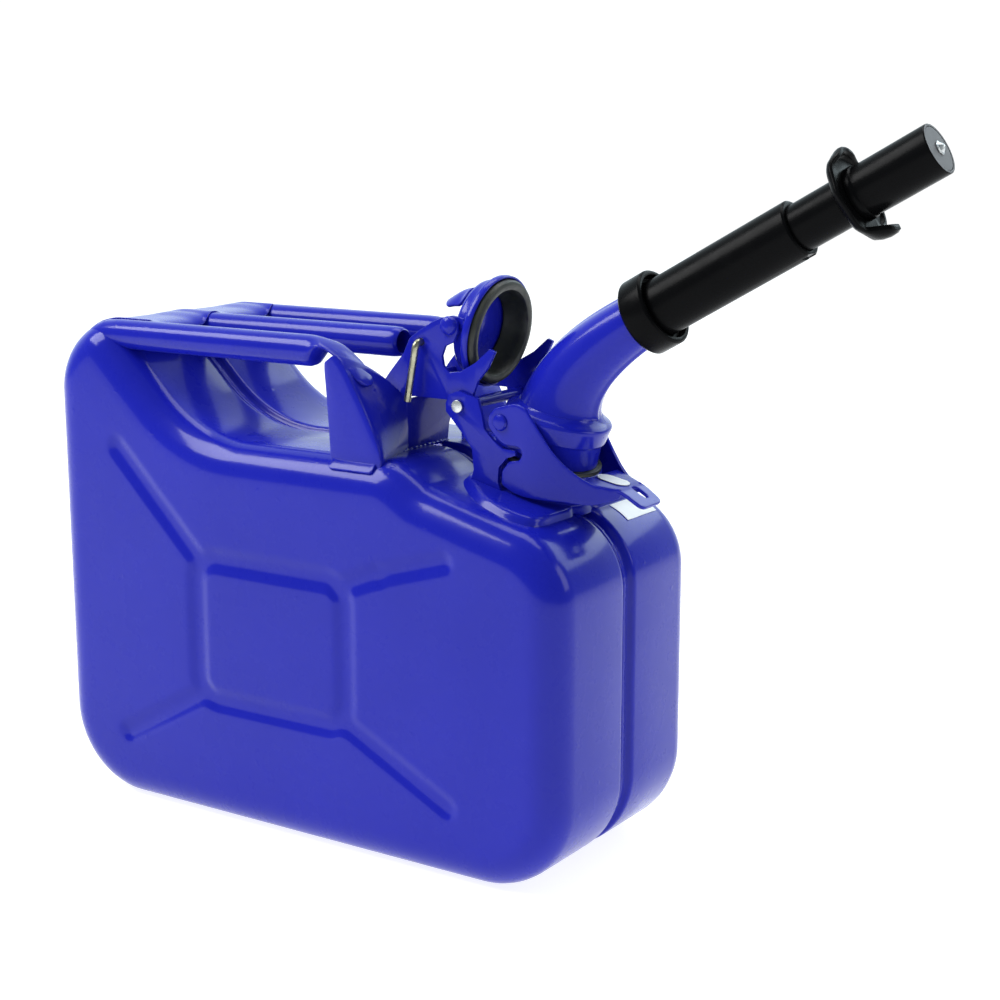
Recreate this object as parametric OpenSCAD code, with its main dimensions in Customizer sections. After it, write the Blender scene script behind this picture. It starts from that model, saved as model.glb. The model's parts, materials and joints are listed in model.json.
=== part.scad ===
// Safety fuel can, 10 litre pressed-steel pattern: two welded half shells, three-bar
// handle, cam-lever cap folded open, and a clamp-on pouring spout with a push-to-open
// nozzle. X runs along the can towards the spout, Y across it, Z up from the base.

/* [Tank] */
// Length of the tank
tank_len = 345; // [330:1:360]
// Width of the tank across its two panels
tank_w = 142; // [136:1:150]
// Height of the flat part of the top, under the handle
deck_h = 219; // [210:1:228]
// Radius of the two bottom corners, seen from the side
base_r = 51; // [40:1:56]
// Radius of the rear top corner
rear_r = 42.5; // [38:0.5:46]
// Rounding between a panel and the narrow walls
edge_r = 18; // [12:1:19]
// Thickness of the pressed sheet
sheet_t = 1; // [0.8:0.1:1.5]
// Depth of the seam channel in the narrow walls
seam_depth = 4; // [2:0.5:5]

/* [Handle] */
// Outside radius of each handle bar
bar_r = 8.4; // [7.5:0.1:8.6]
// Height of the bars' axes
bar_z = 272.6; // [271:0.1:274]
// Distance from the middle bar to each outer bar
bar_gap = 56; // [54:0.5:57]

/* [Neck] */
// Slope of the front shoulder that the neck stands on, in degrees
shoulder_tilt = 14.6; // [13:0.1:16]
// Radius of the filling bore
neck_bore_r = 23; // [21:0.5:24]
// Outside radius of the neck tube
neck_r = 26; // [25.5:0.5:27]

/* [Nozzle] */
// Angle of the nozzle above level, in degrees
nozzle_rise = 29.56; // [28:0.1:31]
// Length of the nozzle from the collar's rear face to its tip
nozzle_len = 173.4; // [165:0.1:176]
// Bore that the push tube slides in
sleeve_bore_r = 12; // [11:0.1:12.5]
// Radial running clearance of the push tube
slide_gap = 0.07; // [0.03:0.01:0.1]
// Outside radius of the nozzle's tip
tip_r = 12.75; // [12.5:0.05:13]

/* [Hidden] */
$fn = 64;

half_len = tank_len / 2;
half_w = tank_w / 2;
touch = 0.02;

// Side outline of the tank, built from arcs that run into each other
shoulder_normal = 90 - shoulder_tilt;
shoulder_pt = [98.6, 203.7];
front_r = 40;
front_cz = (dot2(unit2(shoulder_normal), shoulder_pt) - front_r
    - cos(shoulder_normal) * (half_len - front_r)) / sin(shoulder_normal);
valley_r = 84;
valley_x = -37.4;
valley_turn = 44;
crest_r = 20;
crest_turn = 118;
valley_end = [valley_x - valley_r * sin(valley_turn), deck_h + valley_r * (1 - cos(valley_turn))];
crest_n = unit2(90 - valley_turn);
crest_cx = rear_r - half_len + (rear_r - crest_r) * cos(crest_turn);
crest_cz = (dot2(crest_n, valley_end) - crest_r - crest_n[0] * crest_cx) / crest_n[1];
rear_cz = crest_cz - (rear_r - crest_r) * sin(crest_turn);

function unit2(a) = [cos(a), sin(a)];
function dot2(a, b) = a[0] * b[0] + a[1] * b[1];
function arc2(c, r, a0, a1, n) = [for (i = [0 : n]) c + r * unit2(a0 + (a1 - a0) * i / n)];
outline = concat(
    arc2([half_len - base_r, base_r], base_r, -90, 0, 9),
    arc2([half_len - front_r, front_cz], front_r, 0, shoulder_normal, 7),
    [shoulder_pt, [86, 206.9], [77, 212.6], [69, 217.4], [60, deck_h], [valley_x + 30, deck_h]],
    arc2([valley_x, deck_h + valley_r], valley_r, -90, -90 - valley_turn, 8),
    arc2([crest_cx, crest_cz], crest_r, 90 - valley_turn, crest_turn, 6),
    arc2([rear_r - half_len, rear_cz], rear_r, crest_turn + 8, 180, 6),
    arc2([base_r - half_len, base_r], base_r, 180, 270, 9)
);
outline_n = len(outline);

// Outward direction of the outline at point i, and the outline moved in by d there
function out_dir(i) = let (e = outline[(i + 1) % outline_n] - outline[(i + outline_n - 1) % outline_n])
    [e[1], -e[0]] / norm(e);
function inset(i, d) = outline[i] - d * out_dir(i);

// The seam channel fades out on the base, so that the can stands on both shells
function seam_at(i) = seam_depth * min(1, max(0, (outline[i][1] - 8) / 24));

// One ring of points round the tank at width y, moved in by d plus a share of the seam channel
function ring(y, d, seam_share = 0) =
    [for (i = [0 : outline_n - 1]) let (p = inset(i, d + seam_share * seam_at(i))) [p[0], y, p[1]]];
function edge_rings(r, y0, d0, steps) = [for (k = [0 : steps]) let (a = 90 * k / steps)
    ring(y0 - r * cos(a), d0 + r * (1 - sin(a)))];
function flip(rings) = [for (i = [len(rings) - 1 : -1 : 0]) rings[i]];
function loft_faces(m, n) = concat(
    [[for (j = [0 : n - 1]) j]],
    [for (k = [0 : m - 2]) for (j = [0 : n - 1]) let (a = k * n + j, b = k * n + (j + 1) % n)
        [a, a + n, b + n, b]],
    [[for (j = [n - 1 : -1 : 0]) (m - 1) * n + j]]);
module loft(rings) {
    points = [for (r = rings) for (p = r) p];
    polyhedron(points, loft_faces(len(rings), len(rings[0])), convexity = 6);
}

// Channel walls of the seam, in from the middle of the tank
seam_mouth = 6.5;
seam_floor = 5;
module shell_solid() {
    corner_y = edge_r - half_w;
    outside = concat(edge_rings(edge_r, corner_y, 0, 5),
        [ring(-seam_mouth, 0), ring(-seam_floor, 0, 1), ring(0, 0, 1)]);
    inside = concat([ring(0, sheet_t, 1), ring(-seam_floor - sheet_t, sheet_t, 1),
        ring(-seam_mouth - sheet_t, sheet_t)], flip(edge_rings(edge_r - sheet_t, corner_y, sheet_t, 4)));
    loft(concat(outside, inside));
}

// Neck frame: origin on the shoulder, +Z along the neck
neck_x = 118;
neck_z = shoulder_pt[1] - (neck_x - shoulder_pt[0]) * tan(shoulder_tilt);
module on_neck() translate([neck_x, 0, neck_z]) rotate([0, shoulder_tilt, 0]) children();

// Nozzle frame: origin at the collar's rear face, +Z along the nozzle
nozzle_at = [177.5, 0, 294.4];
module on_nozzle() translate(nozzle_at) rotate([0, 90 - nozzle_rise, 0]) children();

// A plate with an outline in the XZ plane, centred on width y
module side_plate(y, t) translate([0, y + t / 2, 0]) rotate([90, 0, 0]) linear_extrude(t) children();
module pair() {
    children();
    mirror([0, 1, 0]) children();
}
module tube(r, bore, h) difference() {
    cylinder(r = r, h = h);
    translate([0, 0, -1]) cylinder(r = bore, h = h + 2);
}

// ---------------------------------------------------------------- tank
module neck_hole() on_neck() translate([0, 0, -20]) cylinder(r = neck_r + touch, h = 40);
module left_shell() color("mediumblue") difference() {
    mirror([0, 1, 0]) shell_solid();
    neck_hole();
}
module right_shell() color("mediumblue") difference() {
    shell_solid();
    neck_hole();
}

// Weld bead that closes the seam, lying in the channel
bead_half = 2;
bead_t = 1.4;
module seam_weld() color("mediumblue") {
    stretch = [for (i = [0 : outline_n - 1]) if (outline[i][1] > 40) i];
    for (part = [0, 1]) seam_run([for (i = stretch) if (
        part == 0 ? outline[i][0] > 150 && outline[i][1] < 190 : outline[i][0] < 60) i]);
}
module seam_run(run) {
    low = [for (i = run) inset(i, seam_depth - 0.05)];
    high = [for (i = run) inset(i, seam_depth - bead_t)];
    translate([0, bead_half, 0]) rotate([90, 0, 0]) linear_extrude(2 * bead_half)
        polygon(concat(low, [for (i = [len(high) - 1 : -1 : 0]) high[i]]));
}

// Vent pipe from the neck to the air space under the handle's rear end, mitred at its bends
vent_r = 4;
vent_path = [[104.5, 213], [101, 186], [60, 194], [-60, 201], [-128, 250]];
function heading(a, b) = (b - a) / norm(b - a);
function vent_ring(i, r, grow) = let (
    last = len(vent_path) - 1,
    before = heading(vent_path[max(0, i - 1)], vent_path[max(1, i)]),
    after = heading(vent_path[min(last - 1, i)], vent_path[min(last, i + 1)]),
    d = (before + after) / norm(before + after),
    n = [-d[1], d[0]] / dot2(d, after),
    c = vent_path[i] + (i == 0 ? -grow : i == last ? grow : 0) * d)
    [for (j = [0 : 15]) let (a = 22.5 * j, q = c + r * cos(a) * n) [q[0], -r * sin(a), q[1]]];
module breather_tube() color("silver") difference() {
    loft([for (i = [0 : len(vent_path) - 1]) vent_ring(i, vent_r, 0)]);
    loft([for (i = [0 : len(vent_path) - 1]) vent_ring(i, vent_r - 1, 2)]);
}

// ---------------------------------------------------------------- handle
bar_front = 24;
bar_rear = -117;
bar_wall = 1.5;
module handle_bar(front) difference() {
    translate([bar_rear, 0, bar_z]) rotate([0, 90, 0]) cylinder(r = bar_r, h = front - bar_rear);
    translate([bar_rear - 1, 0, bar_z]) rotate([0, 90, 0]) cylinder(r = bar_r - bar_wall, h = front - bar_rear + 2);
}
module handle_bar_right() color("blue") translate([0, -bar_gap, 0]) handle_bar(bar_front);
module handle_bar_left() color("blue") translate([0, bar_gap, 0]) handle_bar(bar_front);
module handle_bar_middle() color("blue") handle_bar(bar_front + 5);

// Pressed saddle that carries the bars' rear ends: it rides on the tank's crest, and a
// web runs forward from it between the bars
saddle_half = 64;
saddle_t = 2.5;
saddle_top = bar_z + bar_r + 0.2;
saddle_foot = 266;
function crest_line(d) = concat(arc2([crest_cx, crest_cz], crest_r + d, 80, crest_turn, 4),
    arc2([rear_r - half_len, rear_cz], rear_r + d, crest_turn + 6, 134, 2));
module rear_bridge() color("blue") {
    front = bar_rear - touch;
    inner = saddle_top - saddle_t;
    side_plate(0, 2 * saddle_half) polygon(concat(
        [[front, saddle_foot], [front, saddle_top - 2], [front - 2, saddle_top], [crest_cx + 9, saddle_top]],
        crest_line(0.12 + saddle_t), flip(crest_line(0.12)),
        [[crest_cx + 9, inner], [front - 4, inner], [front - 2, inner - 2], [front - 2, saddle_foot]]));
    difference() {
        side_plate(0, 2 * bar_gap) translate([front - 1, bar_z - 2]) square([11, 2]);
        for (y = [-bar_gap, 0, bar_gap]) translate([bar_rear, y, bar_z]) rotate([0, 90, 0])
            cylinder(r = bar_r + touch, h = 20);
    }
}

// Front bracket: two side gussets and a folded front plate with lever clearance
bracket_t = 2;
plate_foot_z = deck_h + touch;
gusset_y = 62.2;
// Folded ridge between a gusset and the front plate, and the plate's height at its inner end
ridge = [[58, plate_foot_z], [58.6, 221], [57.2, 226], [53, 235], [47.5, 245.5], [41.5, 256], [36.5, 265]];
plate_in = [plate_foot_z, 220.4, 225, 231, 239, 244, 246];
plate_in_x = 49.4;
plate_in_y = 26;
module front_bracket() color("blue") {
    pair() {
        side_plate(gusset_y, bracket_t) polygon(concat([for (p = ridge) p - [0.6, 0]],
            [[33, 271], [31, 276.6], [24, 279.8], [24, 262], [25.4, 241], [27.4, plate_foot_z]]));
        wing();
        bar_tongue();
        side_plate(gusset_y + 2.6, 6) polygon([[28, plate_foot_z], [57, plate_foot_z], [57, 220.8], [28, 220.8]]);
    }
    difference() {
        translate([plate_in_x - bracket_t - 0.05, -plate_in_y - 1, plate_foot_z])
            cube([bracket_t + 0.1, 2 * plate_in_y + 2, 245.5 - plate_foot_z]);
        translate([40, 13, plate_foot_z - 1]) cube([20, 12, 17]);
    }
}
// Each wing is a twisted sheet, so its long faces are split into triangles
wing_points = [for (i = [0 : len(ridge) - 1]) each [
    [plate_in_x, plate_in_y, plate_in[i]], [ridge[i][0], gusset_y, ridge[i][1]],
    [ridge[i][0] - bracket_t, gusset_y, ridge[i][1]], [plate_in_x - bracket_t, plate_in_y, plate_in[i]]]];
wing_last = 4 * (len(ridge) - 1);
wing_faces = concat([[0, 1, 2, 3]], [for (i = [0 : len(ridge) - 2]) for (j = [0 : 3])
    let (a = 4 * i + j, b = 4 * i + (j + 1) % 4) each [[a, a + 4, b + 4], [a, b + 4, b]]],
    [[wing_last + 3, wing_last + 2, wing_last + 1, wing_last]]);
module wing() polyhedron(wing_points, wing_faces, convexity = 4);
module bar_tongue() side_plate(56.4, 10.2)
    polygon([[24, 281.2], [30.4, 279.4], [35, 274], [41, 262], [39.4, 260.6], [33, 271.6], [29.4, 276.8],
        [24, 278.8]]);

// ---------------------------------------------------------------- neck
pad_h = 4;
lug_y = 30.7;
lug_t = 2.2;
pin_at = [86.9, 246.3];
pin_r = 3;
neck_top = 20;
// Half outline of the pressed boss under the neck, as length and width in the neck frame;
// the seam channel cuts it through in front
pad_side = [[20, 8.6], [25.4, 9.4], [27.4, 13], [27.6, 42], [26.2, 47.5], [22, 50.6], [15, 52], [5, 51.6], [-6, 48.4], [-16, 42.6], [-26, 33.6], [-32, 24]];
module neck_pad() color("mediumblue") difference() {
    on_neck() translate([0, 0, 0.3]) linear_extrude(pad_h)
        polygon(concat(pad_side, [for (p = flip(pad_side)) [p[0], -p[1]]]));
    on_neck() translate([0, 0, -2]) cylinder(r = neck_r + touch, h = pad_h + 8);
    pair() side_plate(lug_y, lug_t + 2 * touch) translate([93.4, 190]) square([21, 40]);
}
module filler_neck() color("blue") on_neck() rotate_extrude()
    polygon([[neck_bore_r, -12], [neck_r, -12], [neck_r, neck_top - 4],
        [28.6, neck_top - 2.4], [28.6, neck_top], [neck_bore_r, neck_top]]);
lug_outline = [[79.2, 243], [83, 239], [90, 231.5], [95.5, 224.5], [96.5, 214], [94, 205], [113.8, 203],
    [111.4, 209], [112, 216.4], [116.8, 221.8], [122.4, 223.6], [121.8, 226], [114.3, 226.4],
    [108, 230.8], [103, 235.5], [101.4, 243], [99, 251], [92.5, 252.6], [86.9, 254.3], [81, 252], [79, 247]];
module lug() difference() {
    side_plate(lug_y, lug_t) difference() {
        polygon(lug_outline);
        translate(pin_at) circle(pin_r + 0.03);
    }
    on_neck() translate([0, 0, -8]) cube([90, 90, 16.2], center = true);
}
module left_lug() color("blue") lug();
module right_lug() color("blue") mirror([0, 1, 0]) lug();
module hinge_pin() color("silver") translate([pin_at[0], 0, pin_at[1]]) rotate([90, 0, 0]) {
    cylinder(r = pin_r, h = 2 * lug_y + lug_t + 1.2, center = true);
    for (s = [-1, 1]) translate([0, 0, s * (lug_y + lug_t / 2 + 0.9)]) cylinder(r = 3.3, h = 1.4, center = true);
}

// ---------------------------------------------------------------- cap and lever
lever_y = 28.1;
lever_t = 2.2;
rivet_at = [79.3, 287.4];
rivet_r = 2.5;
wire_at = [61.6, 277.9];
wire_r = 1.9;
lever_outline = [[37, 255.6], [40, 259.5], [50, 271.1], [54, 279.3], [60.5, 283.9], [68.3, 288.6],
    [75.3, 291.6], [81.5, 292], [84.3, 289.4], [84.8, 284.4], [82.2, 279], [76.8, 276.6], [74.7, 271.4],
    [75.6, 266.4], [79.2, 263], [86.5, 264], [96, 269.4], [104.7, 276.9], [108, 275.6], [103.6, 267],
    [97.5, 260], [94.4, 252.5], [94.2, 244], [90, 239.6], [84, 239.4], [80, 243], [78.4, 248.6],
    [57.2, 248.7], [46.3, 247.8]];
module cap_lever() color("blue") {
    pair() side_plate(lever_y, lever_t) difference() {
        polygon(lever_outline);
        translate(pin_at) circle(pin_r + 0.06);
        translate(wire_at) circle(wire_r + 0.06);
        translate(rivet_at) circle(rivet_r + 0.06);
    }
    side_plate(0, 2 * (lever_y - lever_t / 2) + 0.2)
        polygon([[42.5, 257], [44.5, 251], [47.5, 249.4], [66, 249.8], [66, 251.8], [48.5, 251.5], [46.3, 252.6], [44.5, 257.6]]);
}
module lever_rivets() color("blue") pair() translate([rivet_at[0], 0, rivet_at[1]]) rotate([-90, 0, 0])
    translate([0, 0, lever_y + lever_t / 2 + touch]) rotate_extrude()
    polygon([[0, -5], [rivet_r, -5], [rivet_r, 0], [5.2, 0], [4.4, 1.8], [2.4, 2.8], [0, 3.1]]);
// Bent wire pin: across both cheeks, round an elbow and down beside the right cheek
wire_elbow_r = 3;
wire_out = 30.6;
wire_end = 32;
module lock_pin() color("khaki") translate([wire_at[0], 0, wire_at[1]]) rotate([0, 11, 0]) {
    translate([0, wire_end, 0]) rotate([90, 0, 0]) cylinder(r = wire_r, h = wire_end + wire_out);
    translate([0, -wire_out, -wire_elbow_r]) rotate([0, -90, 0]) rotate([180, 0, 0])
        rotate_extrude(angle = 90) translate([wire_elbow_r, 0]) circle(wire_r);
    translate([0, -wire_out - wire_elbow_r, -32]) cylinder(r = wire_r, h = 32 - wire_elbow_r);
}

// Cap frame: origin at the centre of the rim, +Z out of the cap's mouth
cap_at = [91.5, 0, 282.3];
cap_tilt = 10;
cap_crown_r = 26.3;
cap_rim_r = 30;
module on_cap() translate(cap_at) rotate([0, 90 + cap_tilt, 0]) children();
module cap_cup() color("blue") {
    difference() {
        on_cap() rotate_extrude() polygon([[0, -13], [22, -13], [25.6, -11.4], [cap_crown_r, -8.6],
            [cap_crown_r, -5.5], [cap_rim_r, -4], [cap_rim_r, 0], [28.6, 0], [28.4, -2.8],
            [24.6, -4.6], [23.8, -10], [20, -11.4], [0, -11.4]]);
        pair() rivet_hole();
    }
    pair() difference() {
        side_plate(25.1, 2) cap_ear_outline();
        rivet_hole();
    }
    side_plate(0, 20) polygon([[82.6, 306.6], [74, 304.8], [67.4, 302.4], [63.4, 298.4], [65, 296.8],
        [68.6, 300], [75, 302.3], [82.2, 304.2]]);
}
module rivet_hole() translate([rivet_at[0], 23, rivet_at[1]]) rotate([-90, 0, 0])
    cylinder(r = rivet_r + 0.04, h = 10);
module cap_ear_outline() {
    translate(rivet_at) circle(5);
    polygon([[79.3, 292.4], [87, 291], [86, 283], [79.3, 282.4]]);
}
module cap_gasket() color("darkslategray") on_cap() rotate_extrude()
    polygon([[18.6, -10.9], [23.4, -10], [24.3, -4.6], [28.1, -2.7], [28.1, 1.6], [26.6, 3.2], [20, 3.2], [18.6, 1.8]]);

// ---------------------------------------------------------------- spout
module spout_gasket() color("black") on_neck() translate([0, 0, neck_top + touch]) tube(28, 21, 2);
flange_at = neck_top + 2 + 2 * touch;
flange_h = 27;
tube_base_r = 21.9;
tube_wall = 1.2;
clamp_at = [113, 240];
clamp_pin_r = 2.5;
module spout_flange() color("mediumblue") difference() {
    union() {
        on_neck() rotate_extrude() polygon([[20, flange_at], [25.4, flange_at], [25.4, flange_at + 11.8],
            [26.8, flange_at + 12.4], [28.3, flange_at + 21.4], [27.8, flange_at + 22.6],
            [tube_base_r + 0.2, flange_at + flange_h], [20, flange_at + flange_h]]);
        pair() side_plate(27.2, 4) flange_ear_outline();
    }
    on_neck() translate([0, 0, flange_at - 1]) cylinder(r = 20, h = 40);
}
module flange_ear_outline() {
    translate(clamp_at) circle(6);
    polygon([[107.4, 238], [109, 228], [127, 224], [129, 229], [118.8, 241.6]]);
}
module clamp_rivets() color("blue") pair() translate([clamp_at[0], 0, clamp_at[1]]) rotate([-90, 0, 0])
    translate([0, 0, 29.2 + touch]) rotate_extrude()
    polygon([[0, 0], [clamp_pin_r, 0], [clamp_pin_r, 2.8], [4.4, 2.8], [3.6, 4], [0, 4.5]]);

// Centre line and radius of the bent, tapering spout tube
neck_dir = [sin(shoulder_tilt), cos(shoulder_tilt)];
spout_a = [neck_x, neck_z] + (flange_at + flange_h + touch) * neck_dir;
spout_b = spout_a + 26 * neck_dir;
spout_c = [nozzle_at[0] + 3 * cos(nozzle_rise), nozzle_at[2] + 3 * sin(nozzle_rise)];
spout_steps = 12;
function bezier(t) = (1 - t) * (1 - t) * spout_a + 2 * t * (1 - t) * spout_b + t * t * spout_c;
function bezier_dir(t) = let (d = (1 - t) * (spout_b - spout_a) + t * (spout_c - spout_b)) d / norm(d);
function spout_r(t) = tube_base_r - 8.6 * pow(t, 0.86);
function tube_ring(t, r, side, shift = 0) = let (c = bezier(t), d = bezier_dir(t), n = [-d[1], d[0]])
    [for (j = [0 : side - 1]) let (a = 360 * j / side, q = c + (shift + r * cos(a)) * n) [q[0], -r * sin(a), q[1]]];
module spout_tube() color("blue") difference() {
    loft([for (k = [0 : spout_steps]) tube_ring(k / spout_steps, spout_r(k / spout_steps), 32)]);
    loft([for (k = [-1 : spout_steps + 1])
        tube_ring(k / spout_steps, spout_r(max(0, min(1, k / spout_steps))) - tube_wall, 32)]);
}
air_r = 3.2;
module air_run(from, to, r) loft([for (k = [from : to]) let (t = k / spout_steps)
    tube_ring(t, r, 12, spout_r(t) - tube_wall - air_r - 0.25)]);
module spout_air_tube() color("silver") difference() {
    air_run(1, 9, air_r);
    air_run(0, 10, air_r - 0.8);
}

// ---------------------------------------------------------------- nozzle
collar_w = 14.5;
flange_s = 5.6;
sleeve_end = 97.3;
web_s = 36;
ring_s = 126;
push_r = sleeve_bore_r - slide_gap;
disc_r = 11.2;
disc_t = 7.2;
module spout_ferrule() color("mediumblue") on_nozzle() rotate_extrude()
    polygon([[13.8, 0.2], [17.6, 0.2], [17.6, 4.6], [12.4, 4.6], [12.4, 3.2], [13.45, 3.2]]);
module nozzle_gasket() color("black") on_nozzle() translate([0, 0, 4.62]) tube(17, 11, 0.96);
module collar_nut() color("black") on_nozzle() {
    rotate_extrude() polygon([[13.8, -0.6], [18.4, -0.6], [20.2, 1.2], [20.2, collar_w - 1],
        [19.2, collar_w], [17.4, collar_w], [17, 10], [15, 9.7], [15, 7.7], [17.7, 7.7], [17.7, 0.1],
        [13.8, 0.1]]);
}
module nozzle_sleeve() color("black") on_nozzle() difference() {
    rotate_extrude() polygon([[0, flange_s], [17.5, flange_s], [17.5, flange_s + 2], [14.8, flange_s + 2],
        [14.8, sleeve_end - 1], [13.8, sleeve_end], [0, sleeve_end]]);
    translate([0, 0, flange_s - 1]) cylinder(r = 11, h = web_s - flange_s + 1);
    translate([0, 0, web_s + 3]) cylinder(r = sleeve_bore_r, h = nozzle_len);
    translate([0, 0, web_s - 1]) cylinder(r = 2.5, h = 10);
    for (k = [0 : 3]) rotate([0, 0, 45 + 90 * k]) translate([6.8, 0, web_s - 1]) cylinder(r = 3, h = 10);
    translate([14.8, 0, sleeve_end]) cube([2.4, 9, 9], center = true);
}
module valve_stem() color("silver") on_nozzle() {
    translate([0, 0, web_s - 8]) cylinder(r = 2.5, h = 166 - web_s + 8);
    translate([0, 0, web_s - 3]) cylinder(r = 4, h = 3 - touch);
}
module valve_disc() color("dimgray") on_nozzle() difference() {
    translate([0, 0, 166 + touch]) cylinder(r = disc_r, h = disc_t);
    translate([0, 0, 168.6]) rotate_extrude() translate([disc_r - 1.8, -0.95]) square([3, 1.9]);
}
module valve_seal() color("black") on_nozzle() translate([0, 0, 168.6]) rotate_extrude()
    translate([disc_r - 0.85, 0]) circle(0.92);
module stem_nut() color("silver") on_nozzle() translate([0, 0, 166 + disc_t + 2 * touch]) {
    cylinder(r = 3.6, h = 0.8, $fn = 6);
    rotate_extrude() polygon([[0, 0.8], [2.9, 0.8], [2, 1.7], [0.6, 2.8], [0, 2.8]]);
}

// Helical return spring between the sleeve's web and the push tube
spring_from = web_s + 3;
spring_to = 75;
spring_r = 9;
spring_wire = 0.8;
spring_turns = 7;
spring_seg = 14;
function spring_ring(k) = let (a = 360 * k / spring_seg,
    z = spring_from + spring_wire + 0.1 + (spring_to - spring_from - 2 * spring_wire - 0.2) * k
        / (spring_turns * spring_seg))
    [for (j = [0 : 5]) let (b = 60 * j, r = spring_r + spring_wire * cos(b))
        [r * cos(a), r * sin(a), z + spring_wire * sin(b)]];
module return_spring() color("silver") on_nozzle()
    loft([for (k = [0 : spring_turns * spring_seg]) spring_ring(k)]);

module push_tube() color("black") on_nozzle() translate([0, 0, spring_to]) tube(push_r, 9.8, ring_s + 3.6 - spring_to);
module hook_ring() color("black") on_nozzle() {
    difference() {
        rotate_extrude() polygon([[push_r + touch, ring_s], [15, ring_s - 2], [16, ring_s], [21.4, ring_s + 0.6],
            [21.8, ring_s + 2.4], [21, ring_s + 3.6], [push_r + touch, ring_s + 3.6]]);
        translate([0, 0, ring_s - 4]) cylinder(r = push_r + touch, h = 12);
    }
    side_plate(0, 16) polygon([[16, ring_s + 1.4], [21.4, ring_s + 1.4], [24, ring_s + 6], [24.4, 140.6],
        [22.4, 141.4], [20.4, ring_s + 7], [17.6, ring_s + 3.6]]);
    side_plate(0, 17) polygon([[-16, ring_s + 1.2], [-21.4, ring_s + 1.2], [-24, 132], [-23.4, 134.4],
        [-21.4, 134], [-19, ring_s + 3.6]]);
}
module tip_tube() color("black") on_nozzle() translate([0, 0, ring_s + 3.6 + touch]) difference() {
    rotate_extrude() polygon([[0, 0], [tip_r + 0.8, 0], [tip_r + 0.8, 3], [tip_r, 4],
        [tip_r, nozzle_len - ring_s - 4.8], [tip_r - 0.6, nozzle_len - ring_s - 3.64], [0, nozzle_len - ring_s - 3.64]]);
    translate([0, 0, -1]) cylinder(r = disc_r + 0.15, h = nozzle_len);
}

// ---------------------------------------------------------------- spout clamp
clamp_y = 30.7;
clamp_t = 2.2;
bend_x = 138;
clamp_outline = [[113.6, 207.6], [121, 203.4], [132, 201.6], [bend_x + 1, 201.4], [bend_x + 1, 235.4],
    [133, 241.4], [127, 246.8], [121.6, 249.6], [115, 248], [109.6, 247.2], [105.6, 243], [105.6, 237.4],
    [109.4, 232.8], [114.8, 228.6], [124.4, 228.4], [126.6, 225], [124.6, 221.2], [118.4, 220.2], [114, 215]];
front_len = norm([34, 19]);
module clamp_wing() translate([bend_x, clamp_y, 0]) rotate([0, 0, -atan2(19, 34)]) rotate([90, 0, 0])
    translate([0, 0, -clamp_t / 2]) linear_extrude(clamp_t)
    polygon([[-0.5, 201.4], [12, 201.6], [22, 200.4], [front_len, 202.6], [front_len, 208.8], [27, 210.6],
        [17, 216], [8, 225.4], [-0.5, 235.8]]);
module spout_clamp() color("blue") {
    pair() {
        side_plate(clamp_y, clamp_t) difference() {
            polygon(clamp_outline);
            translate(clamp_at) circle(clamp_pin_r + 0.06);
        }
        clamp_wing();
    }
    difference() {
        side_plate(0, 22) polygon([[168, 208.4], [173, 207.9], [179, 205], [185.4, 199.4],
            [184.2, 197.8], [178, 203], [172.6, 205.7], [168, 206.2]]);
        translate([176.4, 1.6, 204]) cube([8.6, 4.8, 14], center = true);
    }
    clamp_web();
}
module clamp_web() translate([150, 0, 210.4]) rotate([0, 11, 0]) linear_extrude(2)
    polygon([[2.6, -22.6], [21, -12.4], [21, 12.4], [2.6, 22.6]]);
module clamp_label() color("white") translate([150, 0, 210.4]) rotate([0, 11, 0])
    translate([12, 0, 2 + touch]) linear_extrude(0.3) label_outline();
module label_outline() polygon(concat(arc2([3.6, 0], 5.4, -90, 90, 12), arc2([-3.6, 0], 5.4, 90, 270, 12)));
module front_label() color("white") translate([half_len - front_r, 53, front_cz]) rotate([90, 0, 0])
    rotate([0, 0, 50]) label_band();
module label_band() rotate_extrude(angle = 19) translate([front_r + 0.12, 0]) square([0.3, 30.5]);

left_shell();
right_shell();
seam_weld();
breather_tube();
handle_bar_left();
handle_bar_middle();
handle_bar_right();
rear_bridge();
front_bracket();
neck_pad();
filler_neck();
left_lug();
right_lug();
hinge_pin();
spout_gasket();
spout_flange();
spout_tube();
spout_air_tube();
spout_ferrule();
nozzle_gasket();
collar_nut();
nozzle_sleeve();
valve_stem();
valve_disc();
valve_seal();
stem_nut();
return_spring();
push_tube();
hook_ring();
tip_tube();
cap_lever();
lever_rivets();
lock_pin();
cap_cup();
cap_gasket();
spout_clamp();
clamp_rivets();
clamp_label();
front_label();
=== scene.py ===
import json
import math

import bmesh
import bpy
from mathutils import Euler, Matrix, Vector
from mathutils.geometry import delaunay_2d_cdt


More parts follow.
